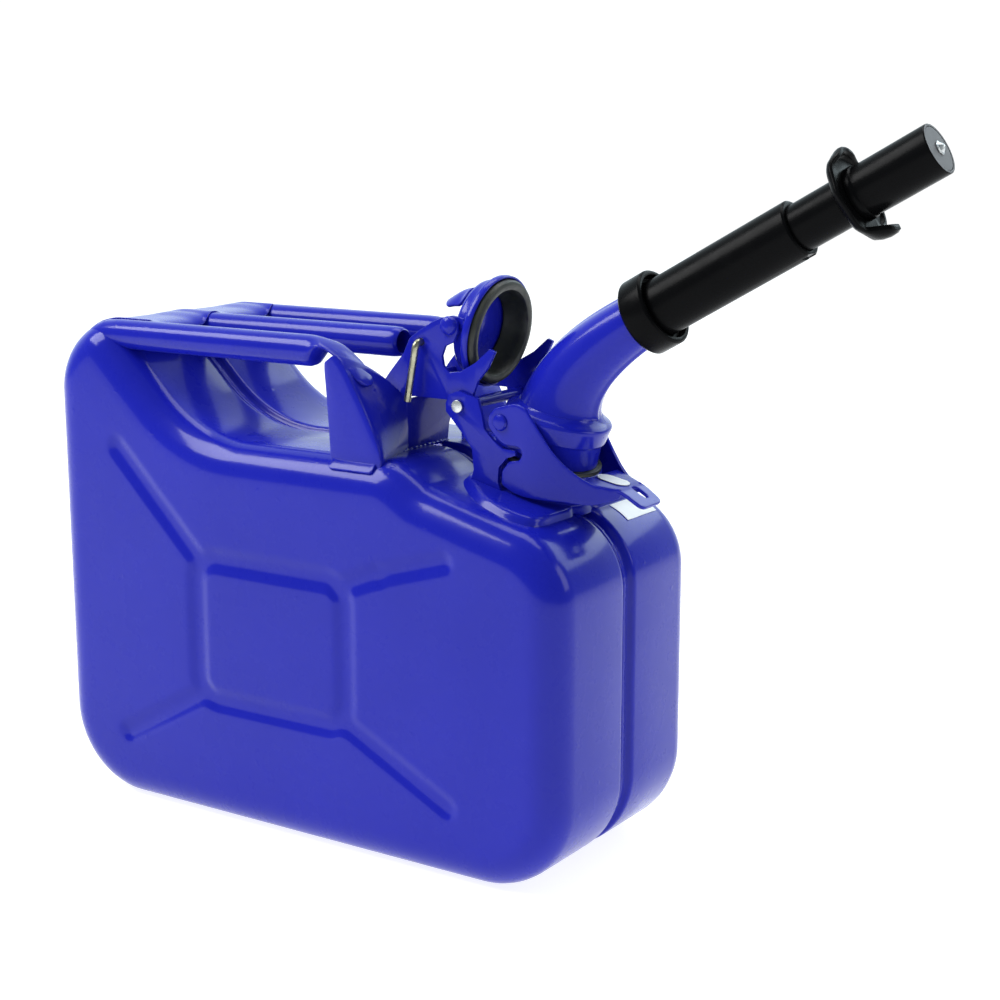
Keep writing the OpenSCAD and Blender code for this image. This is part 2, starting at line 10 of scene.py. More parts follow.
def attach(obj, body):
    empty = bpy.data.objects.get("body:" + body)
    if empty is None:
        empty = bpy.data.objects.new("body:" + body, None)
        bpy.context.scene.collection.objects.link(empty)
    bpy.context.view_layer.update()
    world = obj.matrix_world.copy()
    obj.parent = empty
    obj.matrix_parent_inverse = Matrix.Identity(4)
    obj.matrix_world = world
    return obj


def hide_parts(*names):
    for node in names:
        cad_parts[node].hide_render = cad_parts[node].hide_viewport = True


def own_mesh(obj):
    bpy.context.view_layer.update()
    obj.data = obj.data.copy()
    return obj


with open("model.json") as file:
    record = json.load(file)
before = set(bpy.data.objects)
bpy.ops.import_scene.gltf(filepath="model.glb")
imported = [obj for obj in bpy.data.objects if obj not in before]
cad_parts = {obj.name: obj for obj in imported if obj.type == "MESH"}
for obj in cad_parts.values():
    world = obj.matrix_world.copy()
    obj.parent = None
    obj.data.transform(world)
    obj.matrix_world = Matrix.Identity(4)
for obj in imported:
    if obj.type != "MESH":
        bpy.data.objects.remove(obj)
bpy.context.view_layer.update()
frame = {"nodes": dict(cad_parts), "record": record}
NODES = frame["nodes"]
MM = 0.001

# ---------------------------------------------------------------- sizes, in mm
TANK_LEN = 345.0
HALF_LEN = TANK_LEN / 2
HALF_W = 71.0
DECK_Z = 219.0
BASE_R = 51.0
REAR_R = 42.5
FRONT_R = 40.0
CREST_R = 20.0
CREST_TURN = 118.0
VALLEY_R = 84.0
VALLEY_X = -37.4
VALLEY_TURN = 44.0
EDGE_R = 18.0
SHEET_T = 1.0
SEAM_DEPTH = 4.0
SHOULDER_TILT = 14.6
SHOULDER = (98.6, 203.7)
BAR_R = 8.4
BAR_Z = 272.6
BAR_GAP = 56.0
NECK_X = 118.0
NECK_Z = SHOULDER[1] - (NECK_X - SHOULDER[0]) * math.tan(math.radians(SHOULDER_TILT))
NOZZLE_AT = (177.5, 0.0, 294.4)
NOZZLE_RISE = 29.56
CAP_AT = (91.5, 0.0, 282.3)
CAP_TILT = 10.0


# ---------------------------------------------------------------- small maths
def polar(centre, r, deg):
    """The point at a radius and angle from a centre."""
    a = math.radians(deg)
    return (centre[0] + r * math.cos(a), centre[1] + r * math.sin(a))


def arc(centre, r, start, end, n):
    """Points along an arc, both ends included."""
    return [polar(centre, r, start + (end - start) * i / n) for i in range(n + 1)]


def smooth(t):
    """Eases from 0 to 1 as t goes from 0 to 1."""
    t = min(1.0, max(0.0, t))
    return t * t * (3 - 2 * t)


def resample(points, step, closed=True):
    """Splits long edges so that no edge is longer than step."""
    out = []
    count = len(points) if closed else len(points) - 1
    for i in range(count):
        a, b = Vector(points[i]), Vector(points[(i + 1) % len(points)])
        n = max(1, math.ceil((b - a).length / step))
        out += [tuple(a.lerp(b, k / n)) for k in range(n)]
    if not closed:
        out.append(tuple(points[-1]))
    return out


def rounded(points, r, n=5):
    """A closed outline with its corners rounded to about r."""
    out = []
    count = len(points)
    for i in range(count):
        a, b, c = (Vector(points[(i + k) % count]) for k in (-1, 0, 1))
        cut = min(r, (a - b).length * 0.45, (c - b).length * 0.45)
        p, q = b + (a - b).normalized() * cut, b + (c - b).normalized() * cut
        for k in range(n + 1):
            t = k / n
            out.append(tuple(p * (1 - t) ** 2 + b * 2 * t * (1 - t) + q * t * t))
    return out


def tilted(at, deg):
    """A frame at a point, with its Z turned by deg from straight up towards +X."""
    return Matrix.Translation(at) @ Matrix.Rotation(math.radians(deg), 4, "Y")


ON_NECK = tilted((NECK_X, 0, NECK_Z), SHOULDER_TILT)
ON_NOZZLE = tilted(NOZZLE_AT, 90 - NOZZLE_RISE)
ON_CAP = tilted(CAP_AT, 90 + CAP_TILT)


# ---------------------------------------------------------------- mesh makers
def add_piece(name, verts, faces, material, body="can", place=None, replaces=(), slot=None, crease=40):
    """A mesh object from millimetre vertices, riding on a CAD body."""
    mesh = bpy.data.meshes.new(name)
    place = place or Matrix.Identity(4)
    mesh.from_pydata([tuple((place @ Vector(v)) * MM) for v in verts], [], faces)
    mesh.update()
    piece = bpy.data.objects.new(name, mesh)
    bpy.context.collection.objects.link(piece)
    clean(piece)
    finish_piece(piece, material, body, replaces, slot, crease)
    return piece


def clean(piece):
    """Merges doubled vertices and points all faces the same way."""
    edit = bmesh.new()
    edit.from_mesh(piece.data)
    bmesh.ops.remove_doubles(edit, verts=edit.verts, dist=0.00001)
    bmesh.ops.recalc_face_normals(edit, faces=edit.faces)
    edit.to_mesh(piece.data)
    edit.free()


def finish_piece(piece, material, body, replaces=(), slot=None, crease=40):
    piece.data.materials.clear()
    piece.data.materials.append(material)
    piece.data.shade_smooth()
    piece.data.set_sharp_from_angle(angle=math.radians(crease))
    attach(piece, body)
    if replaces:
        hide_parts(*replaces)


def apply_modifiers(piece):
    graph = bpy.context.evaluated_depsgraph_get()
    mesh = bpy.data.meshes.new_from_object(piece.evaluated_get(graph))
    piece.modifiers.clear()
    piece.data = mesh


def bevel(piece, width, segments=3, angle=35):
    mod = piece.modifiers.new("bevel", "BEVEL")
    mod.width = width * MM
    mod.segments = segments
    mod.limit_method = "ANGLE"
    mod.angle_limit = math.radians(angle)
    mod.harden_normals = False
    apply_modifiers(piece)


def loft_data(rings, cap_ends=True):
    """Vertices and faces of a skin over closed rings of equally many points."""
    count = len(rings[0])
    verts = [p for ring in rings for p in ring]
    faces = []
    for k in range(len(rings) - 1):
        for j in range(count):
            a, b = k * count + j, k * count + (j + 1) % count
            faces.append((a, b, b + count, a + count))
    if cap_ends:
        faces.append(tuple(range(count - 1, -1, -1)))
        faces.append(tuple((len(rings) - 1) * count + j for j in range(count)))
    return verts, faces


def lathe_data(profile, n=96):
    """Turns a closed (r, z) profile about Z."""
    rings = []
    for r, z in profile:
        rings.append([(r * math.cos(math.tau * j / n), r * math.sin(math.tau * j / n), z) for j in range(n)])
    return loft_data(rings + [rings[0]], cap_ends=False)


def plate(name, outlines, thickness, place, material, body="can", edge=0.45, **more):
    """A flat plate with rounded edges: the first outline is its border, the rest are holes."""
    curve = bpy.data.curves.new(name, "CURVE")
    curve.dimensions = "2D"
    curve.fill_mode = "BOTH"
    curve.extrude = (thickness / 2 - edge) * MM
    curve.bevel_depth = edge * MM
    curve.bevel_resolution = 2
    curve.offset = -edge * MM
    for points in outlines:
        spline = curve.splines.new("POLY")
        spline.points.add(len(points) - 1)
        for point, (x, z) in zip(spline.points, points):
            point.co = (x * MM, z * MM, 0, 1)
        spline.use_cyclic_u = True
    holder = bpy.data.objects.new(name + "_curve", curve)
    bpy.context.collection.objects.link(holder)
    graph = bpy.context.evaluated_depsgraph_get()
    mesh = bpy.data.meshes.new_from_object(holder.evaluated_get(graph))
    bpy.data.objects.remove(holder)
    in_metres = place.copy()
    in_metres.translation = place.translation * MM
    mesh.transform(in_metres)
    piece = bpy.data.objects.new(name, mesh)
    bpy.context.collection.objects.link(piece)
    clean(piece)
    finish_piece(piece, material, body, crease=30, **more)
    return piece


def joined(name, pieces):
    """Joins meshes on one body into one piece."""
    first = pieces[0]
    with bpy.context.temp_override(active_object=first, selected_editable_objects=pieces):
        bpy.ops.object.join()
    first.name = name
    return first


def sheet_from(name, grid, thickness, material, body="can", levels=1, **more):
    """A bent sheet from a grid of points: thickened, subdivided and with rounded edges."""
    rows, cols = len(grid), len(grid[0])
    verts = [p for row in grid for p in row]
    faces = [(i * cols + j, i * cols + j + 1, (i + 1) * cols + j + 1, (i + 1) * cols + j)
             for i in range(rows - 1) for j in range(cols - 1)]
    piece = add_piece(name, verts, faces, material, body, **more)
    solid = piece.modifiers.new("sheet", "SOLIDIFY")
    solid.thickness = thickness * MM
    solid.offset = 0
    apply_modifiers(piece)
    bevel(piece, 0.4, 2, 50)
    if levels:
        sub = piece.modifiers.new("round", "SUBSURF")
        sub.levels = sub.render_levels = levels
        apply_modifiers(piece)
    finish_piece(piece, material, body, crease=50)
    return piece


# ---------------------------------------------------------------- materials
def new_material(name):
    mat = bpy.data.materials.new(name)
    mat.use_nodes = True
    tree = mat.node_tree
    return mat, tree, tree.nodes["Principled BSDF"]


def noise(tree, scale, detail=2.0, roughness=0.5):
    coords = tree.nodes.new("ShaderNodeTexCoord")
    node = tree.nodes.new("ShaderNodeTexNoise")
    node.inputs["Scale"].default_value = scale
    node.inputs["Detail"].default_value = detail
    node.inputs["Roughness"].default_value = roughness
    tree.links.new(coords.outputs["Object"], node.inputs["Vector"])
    return node.outputs["Fac"]


def mapped(tree, value, low, high, to_low, to_high):
    node = tree.nodes.new("ShaderNodeMapRange")
    for socket, number in zip(("From Min", "From Max", "To Min", "To Max"), (low, high, to_low, to_high)):
        node.inputs[socket].default_value = number
    tree.links.new(value, node.inputs["Value"])
    return node.outputs["Result"]


def colour_mix(tree, factor, first, second):
    node = tree.nodes.new("ShaderNodeMix")
    node.data_type = "RGBA"
    node.inputs["A"].default_value = (*first, 1)
    node.inputs["B"].default_value = (*second, 1)
    tree.links.new(factor, node.inputs["Factor"])
    return node.outputs["Result"]


def bumps(tree, layers, edge=0.0):
    """Stacks bump layers of (height value, distance in mm); edge softens corners in mm."""
    normal = None
    if edge:
        soft = tree.nodes.new("ShaderNodeBevel")
        soft.samples = 6
        soft.inputs["Radius"].default_value = edge * MM
        normal = soft.outputs["Normal"]
    for value, distance in layers:
        node = tree.nodes.new("ShaderNodeBump")
        node.inputs["Distance"].default_value = distance * MM
        tree.links.new(value, node.inputs["Height"])
        if normal:
            tree.links.new(normal, node.inputs["Normal"])
        normal = node.outputs["Normal"]
    return normal


def enamel(name="blue_enamel", edge=0.0):
    mat, tree, shader = new_material(name)
    drift = mapped(tree, noise(tree, 9, 3), 0.3, 0.7, 0, 1)
    blue = colour_mix(tree, drift, (0.007, 0.011, 0.33), (0.009, 0.013, 0.37))
    tree.links.new(blue, shader.inputs["Base Color"])
    haze = mapped(tree, noise(tree, 60, 4, 0.6), 0.35, 0.75, 0.24, 0.36)
    tree.links.new(haze, shader.inputs["Roughness"])
    shader.inputs["Specular IOR Level"].default_value = 0.05
    shader.inputs["Coat Weight"].default_value = 0.6
    shader.inputs["Coat Roughness"].default_value = 0.13
    shader.inputs["Coat IOR"].default_value = 1.38
    ripple = mapped(tree, noise(tree, 16, 1), 0.3, 0.7, 0, 1)
    peel = mapped(tree, noise(tree, 420, 2), 0.3, 0.7, 0, 1)
    nibs = mapped(tree, noise(tree, 160, 1), 0.74, 0.82, 0, 1)
    normal = bumps(tree, [(ripple, 0.22), (peel, 0.006), (nibs, 0.10)], edge)
    tree.links.new(normal, shader.inputs["Normal"])
    tree.links.new(normal, shader.inputs["Coat Normal"])
    return mat


def satin_black(name="black_plastic"):
    mat, tree, shader = new_material(name)
    drift = noise(tree, 40, 4, 0.6)
    black = colour_mix(tree, drift, (0.002, 0.002, 0.0024), (0.004, 0.004, 0.0044))
    tree.links.new(black, shader.inputs["Base Color"])
    tree.links.new(mapped(tree, noise(tree, 150, 4), 0.3, 0.7, 0.22, 0.31), shader.inputs["Roughness"])
    shader.inputs["Specular IOR Level"].default_value = 0.04
    grain = mapped(tree, noise(tree, 1100, 3), 0.3, 0.7, 0, 1)
    tree.links.new(bumps(tree, [(grain, 0.012)], 0.5), shader.inputs["Normal"])
    return mat


def rubber(name="black_rubber"):
    mat, tree, shader = new_material(name)
    drift = mapped(tree, noise(tree, 120, 4, 0.6), 0.35, 0.7, 0, 1)
    dark = colour_mix(tree, drift, (0.008, 0.009, 0.007), (0.020, 0.024, 0.015))
    tree.links.new(dark, shader.inputs["Base Color"])
    tree.links.new(mapped(tree, noise(tree, 260, 3), 0.3, 0.7, 0.38, 0.58), shader.inputs["Roughness"])
    tree.links.new(bumps(tree, [(noise(tree, 500, 4), 0.05)], 0.4), shader.inputs["Normal"])
    return mat


def steel(name, light, dark, rough=0.3):
    mat, tree, shader = new_material(name)
    blotch = mapped(tree, noise(tree, 130, 5, 0.65), 0.35, 0.7, 0, 1)
    tree.links.new(colour_mix(tree, blotch, dark, light), shader.inputs["Base Color"])
    shader.inputs["Metallic"].default_value = 1.0
    haze = mapped(tree, noise(tree, 340, 4), 0.3, 0.7, rough - 0.08, rough + 0.12)
    tree.links.new(haze, shader.inputs["Roughness"])
    tree.links.new(bumps(tree, [(noise(tree, 900, 3), 0.02)], 0.3), shader.inputs["Normal"])
    return mat


def vinyl(name="white_label"):
    mat, tree, shader = new_material(name)
    drift = noise(tree, 80, 3)
    white = colour_mix(tree, drift, (0.74, 0.75, 0.75), (0.84, 0.85, 0.84))
    tree.links.new(white, shader.inputs["Base Color"])
    shader.inputs["Roughness"].default_value = 0.32
    tree.links.new(bumps(tree, [(noise(tree, 70, 2), 0.08)]), shader.inputs["Normal"])
    return mat


def disc_grey(name="grey_disc"):
    mat, tree, shader = new_material(name)
    tree.links.new(colour_mix(tree, noise(tree, 200, 3), (0.13, 0.13, 0.14), (0.18, 0.18, 0.19)),
                   shader.inputs["Base Color"])
    shader.inputs["Roughness"].default_value = 0.55
    shader.inputs["Specular IOR Level"].default_value = 0.25
    tree.links.new(bumps(tree, [(noise(tree, 900, 3), 0.01)], 0.4), shader.inputs["Normal"])
    return mat


ENAMEL = enamel()
ENAMEL_CAD = enamel("blue_enamel_soft_edges", 0.9)
BLACK = satin_black()
RUBBER = rubber()
ZINC = steel("zinc_steel", (0.72, 0.73, 0.72), (0.46, 0.48, 0.50), 0.26)
PIN = steel("yellow_zinc", (0.50, 0.49, 0.36), (0.26, 0.25, 0.17), 0.3)
LABEL = vinyl()
DISC = disc_grey()
BY_SLOT = {"blue_enamel": ENAMEL_CAD, "black_rubber": RUBBER, "black_plastic": BLACK, "grey_disc": DISC,
           "zinc_steel": ZINC, "yellow_zinc": PIN, "white_label": LABEL}


def dress_frame():
    """Gives every CAD node the material of its slot."""
    for part in frame["record"]["subparts"]:
        node = NODES[part["node"]]
        node.data.materials.clear()
        node.data.materials.append(BY_SLOT[part["material_slot"]])


# ---------------------------------------------------------------- tank
# The step up from the neck's shoulder to the deck, too free for an arc
SHOULDER_RUN = [SHOULDER, (86, 206.9), (80, 210.6), (74, 214.4), (68, 217.4), (62, 218.8), (56, DECK_Z)]
OUTLINE_STEP = 7.0


def tank_outline():
    """The tank's side outline, from arcs that run into each other, in order round it."""
    up = 90 - SHOULDER_TILT
    n = (math.cos(math.radians(up)), math.sin(math.radians(up)))
    front_cz = (n[0] * SHOULDER[0] + n[1] * SHOULDER[1] - FRONT_R - n[0] * (HALF_LEN - FRONT_R)) / n[1]
    end = polar((VALLEY_X, DECK_Z + VALLEY_R), VALLEY_R, -90 - VALLEY_TURN)
    m = (math.cos(math.radians(90 - VALLEY_TURN)), math.sin(math.radians(90 - VALLEY_TURN)))
    crest_x = REAR_R - HALF_LEN + (REAR_R - CREST_R) * math.cos(math.radians(CREST_TURN))
    crest_z = (m[0] * end[0] + m[1] * end[1] - CREST_R - m[0] * crest_x) / m[1]
    rear_z = crest_z - (REAR_R - CREST_R) * math.sin(math.radians(CREST_TURN))
    points = arc((HALF_LEN - BASE_R, BASE_R), BASE_R, -90, 0, 24)
    points += arc((HALF_LEN - FRONT_R, front_cz), FRONT_R, 0, up, 22)
    points += SHOULDER_RUN
    points += arc((VALLEY_X, DECK_Z + VALLEY_R), VALLEY_R, -90, -90 - VALLEY_TURN, 22)
    points += arc((crest_x, crest_z), CREST_R, 90 - VALLEY_TURN, CREST_TURN, 14)
    points += arc((REAR_R - HALF_LEN, rear_z), REAR_R, CREST_TURN + 3, 180, 16)
    points += arc((BASE_R - HALF_LEN, BASE_R), BASE_R, 180, 270, 24)
    return resample(points, OUTLINE_STEP)


OUTLINE = tank_outline()


def outward(i):
    """The outline's outward direction at one of its points."""
    a, b = OUTLINE[i - 1], OUTLINE[(i + 1) % len(OUTLINE)]
    d = Vector((b[1] - a[1], a[0] - b[0]))
    return d.normalized()


OUTWARD = [outward(i) for i in range(len(OUTLINE))]


def inset(i, d):
    """A point of the outline moved in by d."""
    return (OUTLINE[i][0] - d * OUTWARD[i][0], OUTLINE[i][1] - d * OUTWARD[i][1])


# Centre lines of the channels pressed into both panels: a rounded frame, and spokes of a half width each
FRAME_LOW, FRAME_HIGH, FRAME_R = (-64.0, 72.5), (40.0, 153.5), 14.0
SPOKES = [
    ((-62, 152), (-121, 210), 6.2), ((36, 150), (62, 160.5), 6.0), ((62, 160.5), (104, 173), 5.4),
    ((-61, 75), (-121, 41.5), 6.0), ((38, 76), (105, 42), 6.2),
]
CHANNEL_DEPTH = 1.75
CHANNEL_RAMP = 7.6
FRAME_HALF = 9.0
SPOKE_SPREAD = 2.6


def channel_reach(x, z):
    """How deep into the pressed channels a panel point lies, from 0 outside to 1 on their floor."""
    cx, cz = (FRAME_LOW[0] + FRAME_HIGH[0]) / 2, (FRAME_LOW[1] + FRAME_HIGH[1]) / 2
    hx, hz = (FRAME_HIGH[0] - FRAME_LOW[0]) / 2 - FRAME_R, (FRAME_HIGH[1] - FRAME_LOW[1]) / 2 - FRAME_R
    qx, qz = abs(x - cx) - hx, abs(z - cz) - hz
    ring = abs(math.hypot(max(qx, 0), max(qz, 0)) + min(max(qx, qz), 0) - FRAME_R)
    share = [smooth((FRAME_HALF - ring) / CHANNEL_RAMP)]
    for (ax, az), (bx, bz), half in SPOKES:
        dx, dz = bx - ax, bz - az
        t = min(1, max(0, ((x - ax) * dx + (z - az) * dz) / (dx * dx + dz * dz)))
        away = math.hypot(x - ax - t * dx, z - az - t * dz)
        share.append(smooth((half + SPOKE_SPREAD - away) / CHANNEL_RAMP))
    rest = 1.0
    for s in share:
        rest *= 1 - s
    return 1 - rest


PANEL_STEP = 1.8
PANEL_TOP = 290.0
PANEL_MARGIN = 2.2


def panel_mesh():
    """The flat part of a panel as (x, dent, z) points and triangles, dense along its channels."""
    border = [inset(i, EDGE_R) for i in range(len(OUTLINE))]
    points = [Vector(p) for p in border]
    around = ((0, 0), (2, 0), (-2, 0), (0, 2), (0, -2))
    for a in range(int(-HALF_LEN / PANEL_STEP), int(HALF_LEN / PANEL_STEP) + 1):
        for b in range(1, int(PANEL_TOP / PANEL_STEP)):
            x, z = a * PANEL_STEP, b * PANEL_STEP
            near = any(0.002 < channel_reach(x + u, z + v) < 0.998 for u, v in around)
            if (near or (a % 3 == 0 and b % 3 == 0)) and inside(border, x, z, PANEL_MARGIN):
                points.append(Vector((x, z)))
    ring = [(i, (i + 1) % len(border)) for i in range(len(border))]
    verts, _, faces, _, _, _ = delaunay_2d_cdt(points, ring, [], 1, 1e-5)
    dented = [(v.x, CHANNEL_DEPTH * channel_reach(v.x, v.y), v.y) for v in verts]
    return dented, [tuple(f) for f in faces]


def clear_of(loop, x, z, margin):
    """True when a point is at least margin from every edge of a loop."""
    for i in range(len(loop)):
        (ax, az), (bx, bz) = loop[i - 1], loop[i]
        dx, dz = bx - ax, bz - az
        t = min(1, max(0, ((x - ax) * dx + (z - az) * dz) / (dx * dx + dz * dz + 1e-9)))
        if math.hypot(x - ax - t * dx, z - az - t * dz) < margin:
            return False
    return True


def inside(border, x, z, margin):
    """True when a point is within an outline and at least margin from it."""
    hit = False
    for i in range(len(border)):
        (ax, az), (bx, bz) = border[i - 1], border[i]
        if (az > z) != (bz > z) and x < (bx - ax) * (z - az) / (bz - az) + ax:
            hit = not hit
    return hit and clear_of(border, x, z, margin)


# Width from the middle and share of depth, across half the seam channel
SEAM_SECTION = [(0.0, 1.0), (2.4, 1.0), (3.6, 0.92), (4.4, 0.7),
                (5.0, 0.4), (5.6, 0.16), (6.6, 0.04), (8.0, 0.0)]
WALL_Y = 26.0
EDGE_STEPS = 8


def half_shell(name, node, side, panel):
    """One pressed half of the tank: channel, wall, rounded edge and panel, on the side given as -1 or 1."""
    rings = [[(*inset(i, SEAM_DEPTH * share), y) for i in range(len(OUTLINE))] for y, share in SEAM_SECTION]
    rings.append([(*inset(i, 0), WALL_Y) for i in range(len(OUTLINE))])
    for k in range(EDGE_STEPS + 1):
        a = math.radians(90 * k / EDGE_STEPS)
        rings.append([(*inset(i, EDGE_R * (1 - math.cos(a))), HALF_W - EDGE_R + EDGE_R * math.sin(a))
                      for i in range(len(OUTLINE))])
    verts, faces = loft_data([[(x, side * y, z) for x, z, y in ring] for ring in rings], cap_ends=False)
    base = len(verts)
    verts += [(x, side * (HALF_W - dent), z) for x, dent, z in panel[0]]
    faces += [tuple(base + i for i in f) for f in panel[1]]
    piece = add_piece(name, verts, faces, ENAMEL, "can", replaces=(node,), slot="blue_enamel", crease=180)
    face_out(piece, side)
    thick = piece.modifiers.new("sheet", "SOLIDIFY")
    thick.thickness = SHEET_T * MM
    thick.offset = -1
    apply_modifiers(piece)
    finish_piece(piece, ENAMEL, "can", crease=60)
    return piece


def face_out(piece, side):
    """Turns an open half shell's faces so that its panel looks outwards."""
    mesh = piece.data
    panel = max(mesh.polygons, key=lambda f: f.center.y * side)
    if panel.normal.y * side < 0:
        mesh.flip_normals()


BEAD_STEP = 1.6
BEAD_TALL = 1.0
BEAD_WIDE = 2.1


def seam_bead():
    """A rippled weld bead in the seam channel."""
    rings = []
    dense = resample([inset(i, SEAM_DEPTH - 0.2) for i in range(len(OUTLINE))], BEAD_STEP)
    count = len(dense)
    for i, (x, z) in enumerate(dense):
        a, b = dense[i - 1], dense[(i + 1) % count]
        out = Vector((b[1] - a[1], a[0] - b[0])).normalized()
        beat = 0.5 + 0.5 * math.sin(i * 1.9) * math.cos(i * 0.37)
        tall, wide = BEAD_TALL + 0.35 * beat, BEAD_WIDE + 0.3 * beat
        ring = []
        for k in range(9):
            t = math.radians(180 * k / 8)
            ring.append((x + out[0] * tall * math.sin(t), wide * math.cos(t) + 0.25 * math.sin(i * 0.21),
                         z + out[1] * tall * math.sin(t)))
        rings.append(ring)
    verts, faces = loft_data(rings + [rings[0]], cap_ends=False)
    add_piece("weld_bead", verts, faces, ENAMEL, "can",
              replaces=("seam_weld",), slot="blue_enamel", crease=80)


def build_tank():
    panel = panel_mesh()
    half_shell("near_half", "right_shell", -1, panel)
    half_shell("far_half", "left_shell", 1, panel)
    seam_bead()


# ---------------------------------------------------------------- softened copies of CAD nodes
PIN_PAINTED_Y = 31.0


def softened(name, node, width, body, angle=30, segments=3):
    """A copy of a CAD node with its edges rounded over, as pressed and painted steel has them."""
    mesh = NODES[node].data.copy()
    mesh.name = name
    piece = bpy.data.objects.new(name, mesh)
    bpy.context.collection.objects.link(piece)
    edit = bmesh.new()
    edit.from_mesh(mesh)
    bmesh.ops.remove_doubles(edit, verts=edit.verts, dist=0.000005)
    bmesh.ops.dissolve_limit(edit, angle_limit=math.radians(0.4), verts=edit.verts, edges=edit.edges)
    edit.to_mesh(mesh)
    edit.free()
    bevel(piece, width, segments, angle)
    slot = next(p["material_slot"] for p in frame["record"]["subparts"] if p["node"] == node)
    finish_piece(piece, ENAMEL if slot == "blue_enamel" else BY_SLOT[slot], body, (node,), slot, 32)
    if node == "hinge_pin":
        # Only the pin's ends are bare: the rest was painted with its lugs
        piece.data.materials.append(ENAMEL)
        for face in piece.data.polygons:
            face.material_index = int(abs(face.center.y) < PIN_PAINTED_Y * MM)
    return piece


# ---------------------------------------------------------------- handle
def station_ring(yc, x, z_top, half_w, half_h, slope, n=40):
    """One section of a bar: a rounded section hanging from its top line, square to the slope."""
    a = math.radians(slope)
    normal = Vector((math.sin(a), 0, math.cos(a)))
    centre = Vector((x, yc, z_top)) - normal * half_h
    out = []
    for j in range(n):
        t = math.tau * j / n
        out.append(tuple(centre + Vector((0, half_w * math.cos(t), 0)) + normal * half_h * math.sin(t)))
    return out


BAR_TOP = BAR_Z + BAR_R
STRAP_INWARD = 3.2


def side_bar(name, node, side):
    """An outer bar: a tube that rises out of the tank's crest and is pressed flat into a strap in front."""
    stations = [(-150, -5.5, 7.6, 7.6, -30), (-145, -2.6, 8.2, 8.2, -24), (-138, -0.6, 8.4, 8.4, -10)]
    stations += [(x, 0, BAR_R, BAR_R, 0) for x in (-128, -110, -90, -60, -30, 0, 6)]
    stations += [(11, -0.2, 8.5, 8.3, 4), (14.5, -0.7, 8.6, 7.7, 8), (17, -1.2, 8.7, 6.0, 14),
                 (19, -1.9, 8.8, 3.6, 20), (21, -2.8, 8.8, 1.8, 25), (25, -4.8, 8.6, 1.2, 31),
                 (30, -8.2, 8.3, 1.1, 37), (35, -12.2, 8.0, 1.1, 41), (39.5, -16.4, 7.6, 1.1, 46),
                 (43, -20.6, 6.8, 1.1, 52), (44.6, -22.8, 5.0, 1.0, 55), (45.6, -24.4, 2.4, 0.8, 57)]
    rings = []
    for x, drop, w, h, slope in stations:
        inward = STRAP_INWARD * smooth((x - 15) / 30)
        rings.append(station_ring(side * (BAR_GAP - inward), x, BAR_TOP + drop, w, h, slope))
    verts, faces = loft_data(rings)
    return add_piece(name, verts, faces, ENAMEL, "can", replaces=(node,), slot="blue_enamel", crease=50)


def middle_bar():
    """The middle bar ends short of the cap's lever as an open tube with its rim rolled in."""
    stations = [(-150, -5.5, 7.6), (-145, -2.6, 8.2), (-138, -0.6, 8.4), (-128, 0, BAR_R),
                (-60, 0, BAR_R), (0, 0, BAR_R), (22, 0, BAR_R), (26, -0.3, 8.1), (28.4, -1.0, 7.4),
                (29, -1.7, 6.7), (28.6, -2.2, 6.2), (24, -2.0, 6.4), (0, -1.6, 6.8), (-60, -1.6, 6.8)]
    slope = {-150: -30, -145: -24, -138: -10}
    rings = [station_ring(0, x, BAR_TOP + drop, r, r, slope.get(x, 0)) for x, drop, r in stations]
    verts, faces = loft_data(rings)
    add_piece("middle_bar", verts, faces, ENAMEL, "can",
              replaces=("handle_bar_middle",), slot="blue_enamel", crease=60)


def saddle():
    """The pressed plate over the tank's crest, which runs up onto the three bars."""
    profile = [(-156.6, 271.2), (-154, 273.8), (-150.5, 276.4), (-146, 278.6), (-141, 279.8), (-135, 280.3),
               (-128, 280.4), (-120, 280.3), (-113, 279.6), (-109, 278.0), (-107, 275.6)]
    wide = BAR_GAP - 2
    grid = []
    for x, z in profile:
        row = []
        for k in range(61):
            y = -wide + 2 * wide * k / 60
            near = min(abs(y - b) for b in (-BAR_GAP, 0, BAR_GAP))
            sag = 1.5 * smooth((near - 7) / 12) * smooth((x + 150) / 20)
            bar_top = BAR_TOP + 0.5 - (near * near) / (2 * BAR_R) if x > -138 else -1000
            row.append((x - 2.5 * smooth(1 - near / 12) * (x > -112), y, max(z - sag, min(bar_top, 281.3))))
        grid.append(row)
    sheet_from("crest_saddle", grid, 1.0, ENAMEL, "can", replaces=("rear_bridge",), slot="blue_enamel")


PLATE_X = 49.6
GUSSET_Y = 63.0
PLATE_EDGE_Y = 26.0
BRACKET_T = 1.6


